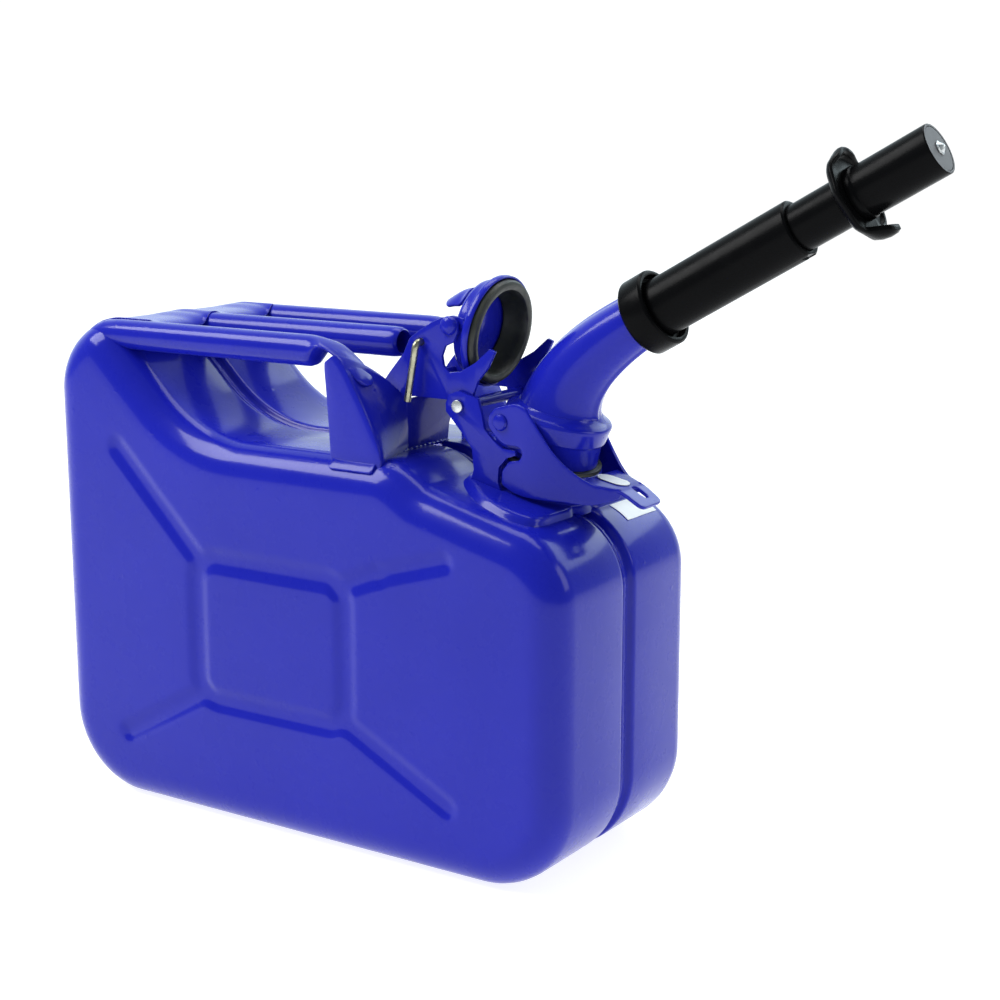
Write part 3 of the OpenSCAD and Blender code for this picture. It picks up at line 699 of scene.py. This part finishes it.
def bracket_side(name, side):
    """A folded gusset and the sloping front face that runs in to the middle plate."""
    ridge = [(29.6, 272.0), (31.8, 270.2), (36.5, 265.0), (41.5, 256.0), (47.5, 245.5),
             (53.0, 235.0), (57.2, 226.0), (58.6, 219.4), (58.2, 215.2)]
    rear = [(24.0, 268.0), (23.6, 264.5), (24.2, 258.0), (24.8, 250.0), (25.4, 241.0),
            (26.0, 232.0), (26.4, 224.0), (26.8, 218.6), (27.4, 214.4)]
    inner_z = [246.0, 245.6, 243.6, 240.0, 236.0, 231.0, 225.5, 220.2, 218.8]
    rows = []
    for (rx, rz), (bx, bz), iz in zip(ridge, rear, inner_z):
        y_out, y_in = GUSSET_Y, PLATE_EDGE_Y
        row = [(bx, y_out - 0.8, bz)]
        for t in (0.25, 0.5, 0.75, 0.93):
            row.append((bx + (rx - bx) * t, y_out, bz + (rz - bz) * t))
        row.append((rx + 0.5, y_out - 0.5, rz))
        row.append((rx + 0.9, y_out - 1.6, rz - 0.1))
        bulge = 4.0 * smooth((iz - 238) / 8)
        for t in (0.1, 0.22, 0.36, 0.5, 0.64, 0.78, 0.9, 1.0):
            lift = bulge * math.sin(math.pi * t)
            row.append((rx + 0.9 + (PLATE_X - rx - 0.9) * t, y_out - 1.6 - (y_out - 1.6 - y_in) * t,
                        rz + (iz - rz) * t + lift))
        rows.append([(x, side * y, z) for x, y, z in row])
    if side > 0:
        rows = [list(reversed(row)) for row in rows]
    return sheet_from(name, rows, BRACKET_T, ENAMEL, "can")


def middle_plate():
    """The plate behind the cap's lever, cut away low down on its far side."""
    outline = rounded([(-27, 218.6), (11, 218.6), (12.5, 228), (16, 235), (27, 236), (27, 246.0),
                       (20, 246.4), (-20, 246.4), (-27, 246.0)], 2.0)
    upright = Matrix.Rotation(math.radians(90), 4, "Z") @ Matrix.Rotation(math.radians(90), 4, "X")
    place = Matrix.Translation((PLATE_X, 0, 0)) @ upright
    return plate("middle_plate", [outline], BRACKET_T, place, ENAMEL, "can")


def bent_plate(name, outline, holes, thickness, bend, material, body, edge=0.5, step=1.8):
    """A plate from an XZ outline with holes, bent by a function of (x, z), thickened, with rounded edges."""
    loops = [outline] + holes
    points, ring = [], []
    for loop in loops:
        loop = resample(loop, step)
        base = len(points)
        points += [Vector(q) for q in loop]
        ring += [(base + i, base + (i + 1) % len(loop)) for i in range(len(loop))]
    low_x, high_x = min(q[0] for q in outline), max(q[0] for q in outline)
    low_z, high_z = min(q[1] for q in outline), max(q[1] for q in outline)
    for a in range(int((high_x - low_x) / step)):
        for b in range(int((high_z - low_z) / step)):
            x, z = low_x + (a + 0.5) * step, low_z + (b + 0.5 + 0.5 * (a % 2)) * step
            away = step * 0.6
            if inside(outline, x, z, away) and not any(inside(h, x, z, -1) or not clear_of(h, x, z, away)
                                                       for h in holes):
                points.append(Vector((x, z)))
    verts, _, faces, _, _, _ = delaunay_2d_cdt(points, ring, [], 1, 1e-5)
    kept = []
    for f in faces:
        cx, cz = sum(verts[i].x for i in f) / len(f), sum(verts[i].y for i in f) / len(f)
        if inside(outline, cx, cz, 0) and not any(inside(h, cx, cz, 0) for h in holes):
            kept.append(tuple(f))
    piece = add_piece(name, [bend(v.x, v.y) for v in verts], kept, material, body)
    thick = piece.modifiers.new("sheet", "SOLIDIFY")
    thick.thickness = thickness * MM
    thick.offset = 0
    thick.use_even_offset = True
    round_off = piece.modifiers.new("edge", "BEVEL")
    round_off.width = edge * MM
    round_off.segments = 3
    round_off.limit_method = "ANGLE"
    round_off.angle_limit = math.radians(50)
    apply_modifiers(piece)
    finish_piece(piece, material, body, crease=45)
    return piece


def weld_run(name, points, r, seed=0.0):
    """A lumpy weld bead along a line."""
    line = resample3(points, 1.1)
    rings = []
    for i, p in enumerate(line):
        a, b = line[max(0, i - 1)], line[min(len(line) - 1, i + 1)]
        d = (b - a).normalized()
        u = d.cross(Vector((0, 0, 1))) if abs(d.z) < 0.9 else d.cross(Vector((1, 0, 0)))
        u.normalize()
        v = d.cross(u)
        lump = r * (0.85 + 0.25 * math.sin(i * 1.7 + seed) + 0.12 * math.sin(i * 0.6 + 2 * seed))
        lump *= min(1.0, 0.35 + min(i, len(line) - 1 - i) * 0.3)
        turns = [math.tau * j / 10 for j in range(10)]
        rings.append([tuple(p + (u * math.cos(t) + v * math.sin(t)) * lump) for t in turns])
    verts, faces = loft_data(rings)
    return add_piece(name, verts, faces, ENAMEL, "can", slot="blue_enamel", crease=80)


def resample3(points, step):
    """Points at about step along a line in space."""
    out = []
    for a, b in zip(points, points[1:]):
        a, b = Vector(a), Vector(b)
        n = max(1, round((b - a).length / step))
        out += [a.lerp(b, k / n) for k in range(n)]
    return out + [Vector(points[-1])]


def edge_z(y):
    """Height of the tank's rounded top edge at width y."""
    return DECK_Z - EDGE_R + math.sqrt(EDGE_R ** 2 - (y - HALF_W + EDGE_R) ** 2)


FOOT_T = 1.8


def build_handle():
    """Three bars, the plate that joins them behind, and the bracket that carries them in front."""
    side_bar("near_bar", "handle_bar_right", -1)
    side_bar("far_bar", "handle_bar_left", 1)
    middle_bar()
    saddle()
    foot = rounded([(28, 61.6), (56.6, 61.6), (57.4, 67.4), (28, 67.4)], 3.2, 5)
    feet = [bent_plate(name, foot, [], FOOT_T, lambda x, y, k=k: (x, k * y, edge_z(y) + FOOT_T / 2),
                       ENAMEL, "can", step=2.0) for name, k in (("near_foot", -1), ("far_foot", 1))]
    sides = [bracket_side("near_bracket", -1), bracket_side("far_bracket", 1)]
    bracket = joined("handle_bracket", sides + [middle_plate()] + feet)
    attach(bracket, "can")
    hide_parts("front_bracket")
    weld_run("near_gusset_weld", [(28, -63.6, 215.4), (57, -63.6, 215.6)], 1.3)
    weld_run("far_gusset_weld", [(28, 63.6, 215.4), (57, 63.6, 215.6)], 1.3, 1)
    weld_run("front_plate_weld", [(58, -60, 217.6), (50.6, -27, 219.1), (50.6, 11, 219.1)], 1.1, 2)


# ---------------------------------------------------------------- neck
RING_N = 120
# Half outline of the boss in the neck's frame, notched in front where the seam channel cuts it
BOSS_SIDE = [(21, 8.6), (25.4, 9.4), (27.4, 13), (27.6, 42), (26.2, 47.5), (22, 50.6),
             (15, 52), (5, 51.6), (-6, 48.4), (-16, 42.6), (-26, 33.6), (-32, 24)]


def reach(outline, t):
    """Distance from the origin to a closed outline in the direction t."""
    dx, dy = math.cos(t), math.sin(t)
    best = 0
    for i in range(len(outline)):
        (ax, ay), (bx, by) = outline[i - 1], outline[i]
        ex, ey = bx - ax, by - ay
        det = dx * -ey + dy * ex
        if abs(det) > 1e-9:
            k = (ax * -ey + ay * ex) / det
            m = (dx * ay - dy * ax) / det
            if k > 0 and -1e-6 <= m <= 1 + 1e-6:
                best = max(best, k)
    return best


def neck_boss():
    """The raised boss pressed up round the neck, sloping down all round into the shoulder."""
    border = rounded(BOSS_SIDE + [(x, -y) for x, y in reversed(BOSS_SIDE)], 6, 6)
    angles = [math.tau * j / RING_N for j in range(RING_N)]
    far = [max(reach(border, t), 27.0) for t in angles]

    def skirt(grow, z):
        return [((r + grow) * math.cos(t), (r + grow) * math.sin(t), z) for r, t in zip(far, angles)]

    def round_neck(r, z):
        return [(r * math.cos(t), r * math.sin(t), z) for t in angles]

    slope = ((2.4, -0.9), (1.6, -0.1), (0.9, 0.7), (0.1, 2.0), (-0.8, 3.2), (-2.2, 4.0), (-4.2, 4.3))
    rings = [skirt(grow, z) for grow, z in slope]
    rings += [round_neck(r, z) for r, z in ((28.4, 4.4), (27.2, 5.0), (26.6, 6.4), (26.3, 8.4), (26.3, -1))]
    rings += [skirt(-6, -1), skirt(0, -1.2)]
    verts, faces = loft_data(rings + [rings[0]], cap_ends=False)
    add_piece("neck_boss", verts, faces, ENAMEL, "can", place=ON_NECK,
              replaces=("neck_pad",), slot="blue_enamel", crease=70)


# ---------------------------------------------------------------- spout
NECK_DIR = Vector((math.sin(math.radians(SHOULDER_TILT)), math.cos(math.radians(SHOULDER_TILT))))
SPOUT_FOOT = 49.06
SPOUT_LEAD = 26.0
INTO_COLLAR = 3.0
SPOUT_R = 21.9
SPOUT_TAPER = 8.6
SPOUT_T = 1.2
RIDGE_H = 1.1
RIDGE_DEG = 5.5
# Ends and control point of the tube's curve, in the middle plane
SPOUT_A = Vector((NECK_X, NECK_Z)) + SPOUT_FOOT * NECK_DIR
SPOUT_B = SPOUT_A + SPOUT_LEAD * NECK_DIR
NOZZLE_DIR = Vector((math.cos(math.radians(NOZZLE_RISE)), math.sin(math.radians(NOZZLE_RISE))))
SPOUT_C = Vector((NOZZLE_AT[0], NOZZLE_AT[2])) + INTO_COLLAR * NOZZLE_DIR


def spout_ring(t, shrink=0.0, n=96):
    """A section of the bent spout: round, with the weld ridges of its two halves in the middle plane."""
    c = (1 - t) ** 2 * SPOUT_A + 2 * t * (1 - t) * SPOUT_B + t * t * SPOUT_C
    d = ((1 - t) * (SPOUT_B - SPOUT_A) + t * (SPOUT_C - SPOUT_B)).normalized()
    normal = Vector((-d[1], d[0]))
    r = SPOUT_R - SPOUT_TAPER * t ** 0.86 - shrink
    out = []
    for j in range(n):
        a = math.tau * j / n
        ridge = 0 if shrink else RIDGE_H * sum(
            math.exp(-((math.degrees(math.atan2(math.sin(a - m), math.cos(a - m)))) / RIDGE_DEG) ** 2)
            for m in (0, math.pi))
        q = c + (r + ridge) * math.cos(a) * normal
        out.append((q[0], -(r + ridge) * math.sin(a), q[1]))
    return out


def build_spout():
    n = 44
    rings = [spout_ring(k / n) for k in range(n + 1)] + [spout_ring(k / n, SPOUT_T) for k in range(n, -1, -1)]
    verts, faces = loft_data(rings + [rings[0]], cap_ends=False)
    add_piece("spout_pipe", verts, faces, ENAMEL, "can",
              replaces=("spout_tube",), slot="blue_enamel", crease=60)


CLAMP_Y = 30.7
CLAMP_PIN = (113.0, 240.0)
CLAMP_HOLE_R = 2.6
CLAMP_BEND = (126.0, 150.0)
CLAMP_SLOPE = 0.60
CLAMP_SIDE = [(113.6, 207.6), (121, 203.9), (128, 202.4), (138, 201.6), (147, 201.2), (154, 199.9),
              (160, 199.6), (166, 201.4), (172, 203.2), (173, 208.2), (166, 208.4), (160, 210.2),
              (153.5, 214.6), (147.2, 220.6), (141.8, 227.2), (137, 234.6), (132, 242.4), (127.6, 248.6),
              (121.6, 250.4), (115, 248.8), (109.6, 247.2), (105.6, 243), (105.6, 237.4), (109.4, 232.8),
              (114.8, 228.6), (124.4, 228.4), (126.6, 225), (124.6, 221.2), (118.4, 220.2), (114, 215)]


def clamp_width(x):
    """Half width of the clamp: straight sides that bend in towards the tab."""
    start, end = CLAMP_BEND
    if x < start:
        return CLAMP_Y
    if x < end:
        return CLAMP_Y - CLAMP_SLOPE * (x - start) ** 2 / (2 * (end - start))
    return CLAMP_Y - CLAMP_SLOPE * (end - start) / 2 - CLAMP_SLOPE * (x - end)


def clamp_tab_z(x):
    """Height of the tab's middle layer: level behind, turned down in front."""
    return 207.4 - 9.2 * smooth((x - 168) / 26) - 0.12 * max(0, x - 172)


def build_clamp():
    """The clamp's two wings, the web between them and the slotted tab in front."""
    outline = rounded(CLAMP_SIDE, 1.6, 3)
    hole = arc(CLAMP_PIN, CLAMP_HOLE_R, 0, 330, 11)
    sides = [bent_plate(name, outline, [hole], 2.0, lambda x, z, k=k: (x, k * clamp_width(x), z),
                        ENAMEL, "spout_clamp") for name, k in (("near_wing", -1), ("far_wing", 1))]
    tab = rounded([(167, -12.6), (176, -11.4), (185.2, -10.6),
                   (185.2, 10.6), (176, 11.4), (167, 12.6)], 5.5, 6)
    slot = rounded([(172.2, -0.6), (180.6, -0.6), (180.6, 4.0), (172.2, 4.0)], 2.2, 5)
    sides.append(bent_plate("tab", tab, [slot], 1.9, lambda x, y: (x, y, clamp_tab_z(x)),
                            ENAMEL, "spout_clamp", step=1.4))
    web = rounded([(152.6, -22.2), (161, -17.0), (171, -12.0),
                   (171, 12.0), (161, 17.0), (152.6, 22.2)], 1.5, 3)
    sides.append(bent_plate("web", web, [], 1.9, lambda x, y: (x, y, 211.1 - 0.19 * (x - 150)),
                            ENAMEL, "spout_clamp", step=2.4))
    clamp = joined("clamp", sides)
    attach(clamp, "spout_clamp")
    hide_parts("spout_clamp")


RIVET_AT = (79.3, 287.4)
RIVET_HOLE_R = 2.55
CAP_EAR_Y = 25.1
CAP_EAR = arc(RIVET_AT, 5, 90, 270, 12) + [(86, 283), (87, 291)]


def tongue_z(x):
    """Height of the cap's thumb tongue, which droops towards its tip."""
    return 305.0 - 0.16 * (82 - x) - 6.4 * smooth((74 - x) / 22)


TONGUE_HALF = 10.5
TONGUE_DROOP = 8.5


def tongue_droop(x, y):
    """How far the tongue's sides curl down below its middle."""
    return TONGUE_DROOP * (y / TONGUE_HALF) ** 2 * smooth((82 - x) / 10)


def build_cap():
    """A drawn steel cap with rolled rim, two ears for its rivets and a thumb tongue."""
    profile = [(0, -13), (20.5, -13), (23.6, -12.6), (25.4, -11.4), (26.2, -9.4), (26.3, -6.6), (27.0, -5.4),
               (28.8, -4.6), (29.7, -3.9), (30, -2.8), (30, -0.9), (29.7, -0.2), (29.2, 0), (28.8, -0.2),
               (28.6, -0.8), (28.5, -2.6), (27.2, -3.6), (25.0, -4.6), (24.5, -5.6), (23.9, -9.6),
               (22.6, -10.9), (20, -11.4), (12, -11.5), (9, -10.8), (0, -10.7)]
    verts, faces = lathe_data([(max(r, 0.01), z) for r, z in profile], 128)
    pieces = [add_piece("cap_body", verts, faces, ENAMEL, "cap", place=ON_CAP, crease=50)]
    for name, k in (("near_ear", -1), ("far_ear", 1)):
        pieces.append(bent_plate(name, rounded(CAP_EAR, 1.2, 3), [arc(RIVET_AT, RIVET_HOLE_R, 0, 330, 11)], 2.0,
                                 lambda x, z, k=k: (x, k * CAP_EAR_Y, z), ENAMEL, "cap", step=2.4))
    tongue = rounded([(83.4, -TONGUE_HALF), (74, -TONGUE_HALF), (62.2, -7.6), (60.2, 0),
                      (62.2, 7.6), (74, TONGUE_HALF), (83.4, TONGUE_HALF)], 5, 6)
    pieces.append(bent_plate("tongue", tongue, [], 1.8, lambda x, y: (x, y, tongue_z(x) - tongue_droop(x, y)),
                             ENAMEL, "cap", step=1.6))
    lip = [(18.8, -10.6), (23.2, -9.9), (24.2, -4.6), (27.8, -2.5), (28.1, -1.8), (28.1, 1.2), (27.4, 2.6),
           (26.2, 3.2), (24.4, 3.2), (23.2, 2.6), (22.4, 1.2), (21.9, -1.5), (20.6, -6.0), (19.2, -8.6), (18.6, -10)]
    turned("gasket", lip, ON_CAP, RUBBER, "cap", "cap_gasket", "black_rubber")
    cap = joined("cap", pieces)
    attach(cap, "cap")
    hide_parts("cap_cup")


# The hook below and the stub above: half angle, forward draw and outward flare of each
HOOK_DEG, HOOK_DRAW, HOOK_FLARE = 25, 9.6, 1.7
STUB_DEG, STUB_DRAW, STUB_FLARE = 36, 3.2, 0.7
FLUTES, FLUTE_H = 8, 0.5


def build_hook_ring():
    """The cupped flange that hooks under a filler's lip, drawn forward below and a little above."""
    # Each station: radius, position along the nozzle, share of the forward draw, share of the outward flare
    stations = [(12.0, 124.6, 0, 0), (14.6, 124.0, 0, 0), (15.6, 125.2, 0, 0), (17.6, 125.6, 0, 0),
                (20.0, 126.3, 0, 0), (21.7, 127.8, 0, 0.2), (22.2, 129.0, 0.25, 0.8), (22.3, 129.4, 0.6, 1.1),
                (22.2, 129.8, 0.9, 1.0), (21.7, 130.4, 1.0, 0.8), (20.2, 130.5, 1.0, 0.6),
                (19.4, 130.0, 0.9, 0.7), (19.2, 129.5, 0.6, 0.7), (18.9, 129.2, 0.2, 0.3),
                (18.4, 129.3, 0, 0), (14.0, 129.8, 0, 0), (12.0, 129.6, 0, 0)]
    rings = []
    for r, z, forward, flare in stations:
        ring = []
        for j in range(144):
            a = math.tau * j / 144
            away = abs(math.degrees(math.atan2(math.sin(a), math.cos(a))))
            hook = math.exp(-(away / HOOK_DEG) ** 4)
            stub = math.exp(-((180 - away) / STUB_DEG) ** 4)
            grown = r + (HOOK_FLARE * hook + STUB_FLARE * stub) * flare
            grown += FLUTE_H * math.cos(FLUTES * a) * smooth((r - 16) / 5)
            drawn = z + (HOOK_DRAW * hook + STUB_DRAW * stub) * forward
            ring.append((grown * math.cos(a), grown * math.sin(a), drawn))
        rings.append(ring)
    verts, faces = loft_data(rings + [rings[0]], cap_ends=False)
    hook = add_piece("filler_hook", verts, faces, BLACK, "nozzle", place=ON_NOZZLE, crease=50)
    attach(hook, "nozzle")
    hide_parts("hook_ring")


def turned(name, profile, place, material, body, node=None, slot=None, n=96):
    """A piece turned about its frame's Z from a closed (radius, height) profile."""
    verts, faces = lathe_data([(max(r, 0.01), z) for r, z in profile], n)
    return add_piece(name, verts, faces, material, body, place=place,
                     replaces=(node,) if node else (), slot=slot, crease=32)


FOOT_EAR_Y = 27.2
FOOT_EAR_T = 4.0


def build_spout_foot():
    """The spout's flanged foot: a turned ring that flares upwards, with two ears for the clamp's rivets."""
    ring = [(20, 22.04), (25.1, 22.04), (25.4, 22.4), (25.4, 33.4), (25.8, 34.3), (26.8, 35.4), (28.0, 42.2),
            (28.3, 43.4), (28.2, 44.4), (27.6, 45.2), (25.4, 46.2), (23.4, 47.6), (22.2, 49.04), (20, 49.04)]
    pieces = [turned("foot_ring", ring, ON_NECK, ENAMEL, "can")]
    outline = [(107.4, 238), (109, 228), (127, 224), (129, 229)] + arc(CLAMP_PIN, 6, 16, 200, 14)
    for name, k in (("near_foot_ear", -1), ("far_foot_ear", 1)):
        pieces.append(bent_plate(name, rounded(outline, 0.8, 3), [], FOOT_EAR_T,
                                 lambda x, z, k=k: (x, k * FOOT_EAR_Y, z), ENAMEL, "can", step=2.4))
    foot = joined("spout_foot", pieces)
    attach(foot, "can")
    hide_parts("spout_flange")


TIP_GREY_FROM = 173.3


def build_tip():
    """The tip's tube with its grey end face, the disc that closes it and the spring behind it."""
    wall = [(11.35, 129.64), (13.2, 129.64), (13.55, 129.95), (13.55, 132.6), (13.3, 133.2), (12.75, 133.8),
            (12.75, 172.6), (12.65, 173.1), (12.4, 173.38), (11.45, 173.38), (11.35, 173.3)]
    tip = turned("tip", wall, ON_NOZZLE, BLACK, "nozzle", "tip_tube", "black_plastic")
    tip.data.materials.append(DISC)
    for face in tip.data.polygons:
        face.material_index = int((ON_NOZZLE.inverted() @ (face.center / MM)).z > TIP_GREY_FROM)
    disc = [(0, 166.02), (10.9, 166.02), (11.2, 166.3), (11.2, 167.65), (9.4, 167.65), (9.4, 169.55),
            (11.2, 169.55), (11.2, 173.05), (11.05, 173.22), (0, 173.22)]
    turned("end_disc", disc, ON_NOZZLE, DISC, "can", "valve_disc", "grey_disc")
    mesh = NODES["return_spring"].data.copy()
    spring = bpy.data.objects.new("spring", mesh)
    bpy.context.collection.objects.link(spring)
    finish_piece(spring, ZINC, "can", ("return_spring",), "zinc_steel", 60)
    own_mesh(spring)


def build_fittings():
    """The smaller CAD parts, with their edges rounded over."""
    for name, node, width, body in (
            ("neck_tube", "filler_neck", 0.5, "can"), ("near_lug", "right_lug", 0.5, "can"),
            ("far_lug", "left_lug", 0.5, "can"), ("lever", "cap_lever", 0.55, "cap_lever"),
            ("lever_rivet_heads", "lever_rivets", 0.4, "cap_lever"),
            ("clamp_rivet_heads", "clamp_rivets", 0.3, "can"),
            ("collar", "collar_nut", 0.5, "can"), ("sleeve", "nozzle_sleeve", 0.5, "can"),
            ("lever_pin", "hinge_pin", 0.3, "can"), ("end_nut", "stem_nut", 0.15, "can")):
        softened(name, node, width, body)


# ---------------------------------------------------------------- stage, light and camera
def area_light(name, at, look_at, size, power, colour=(1, 1, 1)):
    data = bpy.data.lights.new(name, "AREA")
    data.shape = "RECTANGLE"
    data.size, data.size_y = size
    data.energy = power
    data.color = colour
    lamp = bpy.data.objects.new(name, data)
    lamp.location = at
    lamp.rotation_euler = (Vector(look_at) - Vector(at)).to_track_quat("-Z", "Y").to_euler()
    bpy.context.collection.objects.link(lamp)


CAMERA_AT = (0.6307, -0.8167, 0.3954)
CAMERA_DOWN = 11.77
CAMERA_TURN = 33.41
CAMERA_LENS = 66.86
# The sky's light comes from behind and to the far side, and its strength runs between these
BRIGHT_SIDE = (-0.55, 0.835, 0.0)
SKY_LOW, SKY_HIGH = 0.30, 1.25
BACKDROP = 1.05


def build_stage():
    """Pale floor, graded sky with a white backdrop, four soft lights and the camera, in metres."""
    bpy.ops.mesh.primitive_plane_add(size=8, location=(0, 0, 0))
    floor = bpy.context.object
    floor.name = "floor"
    mat, tree, shader = new_material("pale_floor")
    grey = colour_mix(tree, noise(tree, 3, 2), (0.50, 0.50, 0.50), (0.54, 0.54, 0.54))
    tree.links.new(grey, shader.inputs["Base Color"])
    shader.inputs["Roughness"].default_value = 0.7
    shader.inputs["Emission Color"].default_value = (1, 1, 1, 1)
    shader.inputs["Emission Strength"].default_value = 0.86
    floor.data.materials.append(mat)
    world = bpy.data.worlds.new("studio")
    bpy.context.scene.world = world
    world.use_nodes = True
    tree = world.node_tree
    tree.nodes["Background"].inputs["Color"].default_value = (0.80, 0.94, 1.0, 1)
    coords = tree.nodes.new("ShaderNodeTexCoord")
    toward = tree.nodes.new("ShaderNodeVectorMath")
    toward.operation = "DOT_PRODUCT"
    toward.inputs[1].default_value = BRIGHT_SIDE
    tree.links.new(coords.outputs["Generated"], toward.inputs[0])
    glow = mapped(tree, toward.outputs["Value"], 0.25, 0.80, SKY_LOW, SKY_HIGH)
    tree.links.new(glow, tree.nodes["Background"].inputs["Strength"])
    backdrop = tree.nodes.new("ShaderNodeBackground")
    backdrop.inputs["Color"].default_value = (1, 1, 1, 1)
    backdrop.inputs["Strength"].default_value = BACKDROP
    seen = tree.nodes.new("ShaderNodeLightPath")
    either = tree.nodes.new("ShaderNodeMixShader")
    tree.links.new(seen.outputs["Is Camera Ray"], either.inputs[0])
    tree.links.new(tree.nodes["Background"].outputs[0], either.inputs[1])
    tree.links.new(backdrop.outputs[0], either.inputs[2])
    tree.links.new(either.outputs[0], tree.nodes["World Output"].inputs["Surface"])
    area_light("key_right", (1.6, 0.6, 0.9), (0.1, 0, 0.12), (0.6, 0.9), 5)
    area_light("top_soft", (0.0, 0.45, 1.6), (0, 0, 0.2), (1.3, 0.6), 9)
    area_light("back_panel", (0.6, 1.7, 1.3), (0.1, 0, 0.15), (1.6, 0.8), 11, (0.80, 0.95, 1.0))
    area_light("left_fill", (-1.05, -0.9, 1.75), (0, 0, 0.2), (1.2, 1.2), 46)
    bpy.context.scene.view_settings.view_transform = "Standard"
    camera = bpy.data.cameras.new("camera")
    camera.lens = CAMERA_LENS
    camera.sensor_width = 36
    holder = bpy.data.objects.new("camera", camera)
    holder.location = CAMERA_AT
    holder.rotation_euler = Euler((math.radians(90 - CAMERA_DOWN), 0, math.radians(CAMERA_TURN)))
    bpy.context.collection.objects.link(holder)
    bpy.context.scene.camera = holder


build_stage()
dress_frame()
build_tank()
build_handle()
neck_boss()
build_spout()
build_clamp()
build_cap()
build_hook_ring()
build_spout_foot()
build_tip()
build_fittings()
bpy.context.view_layer.update()
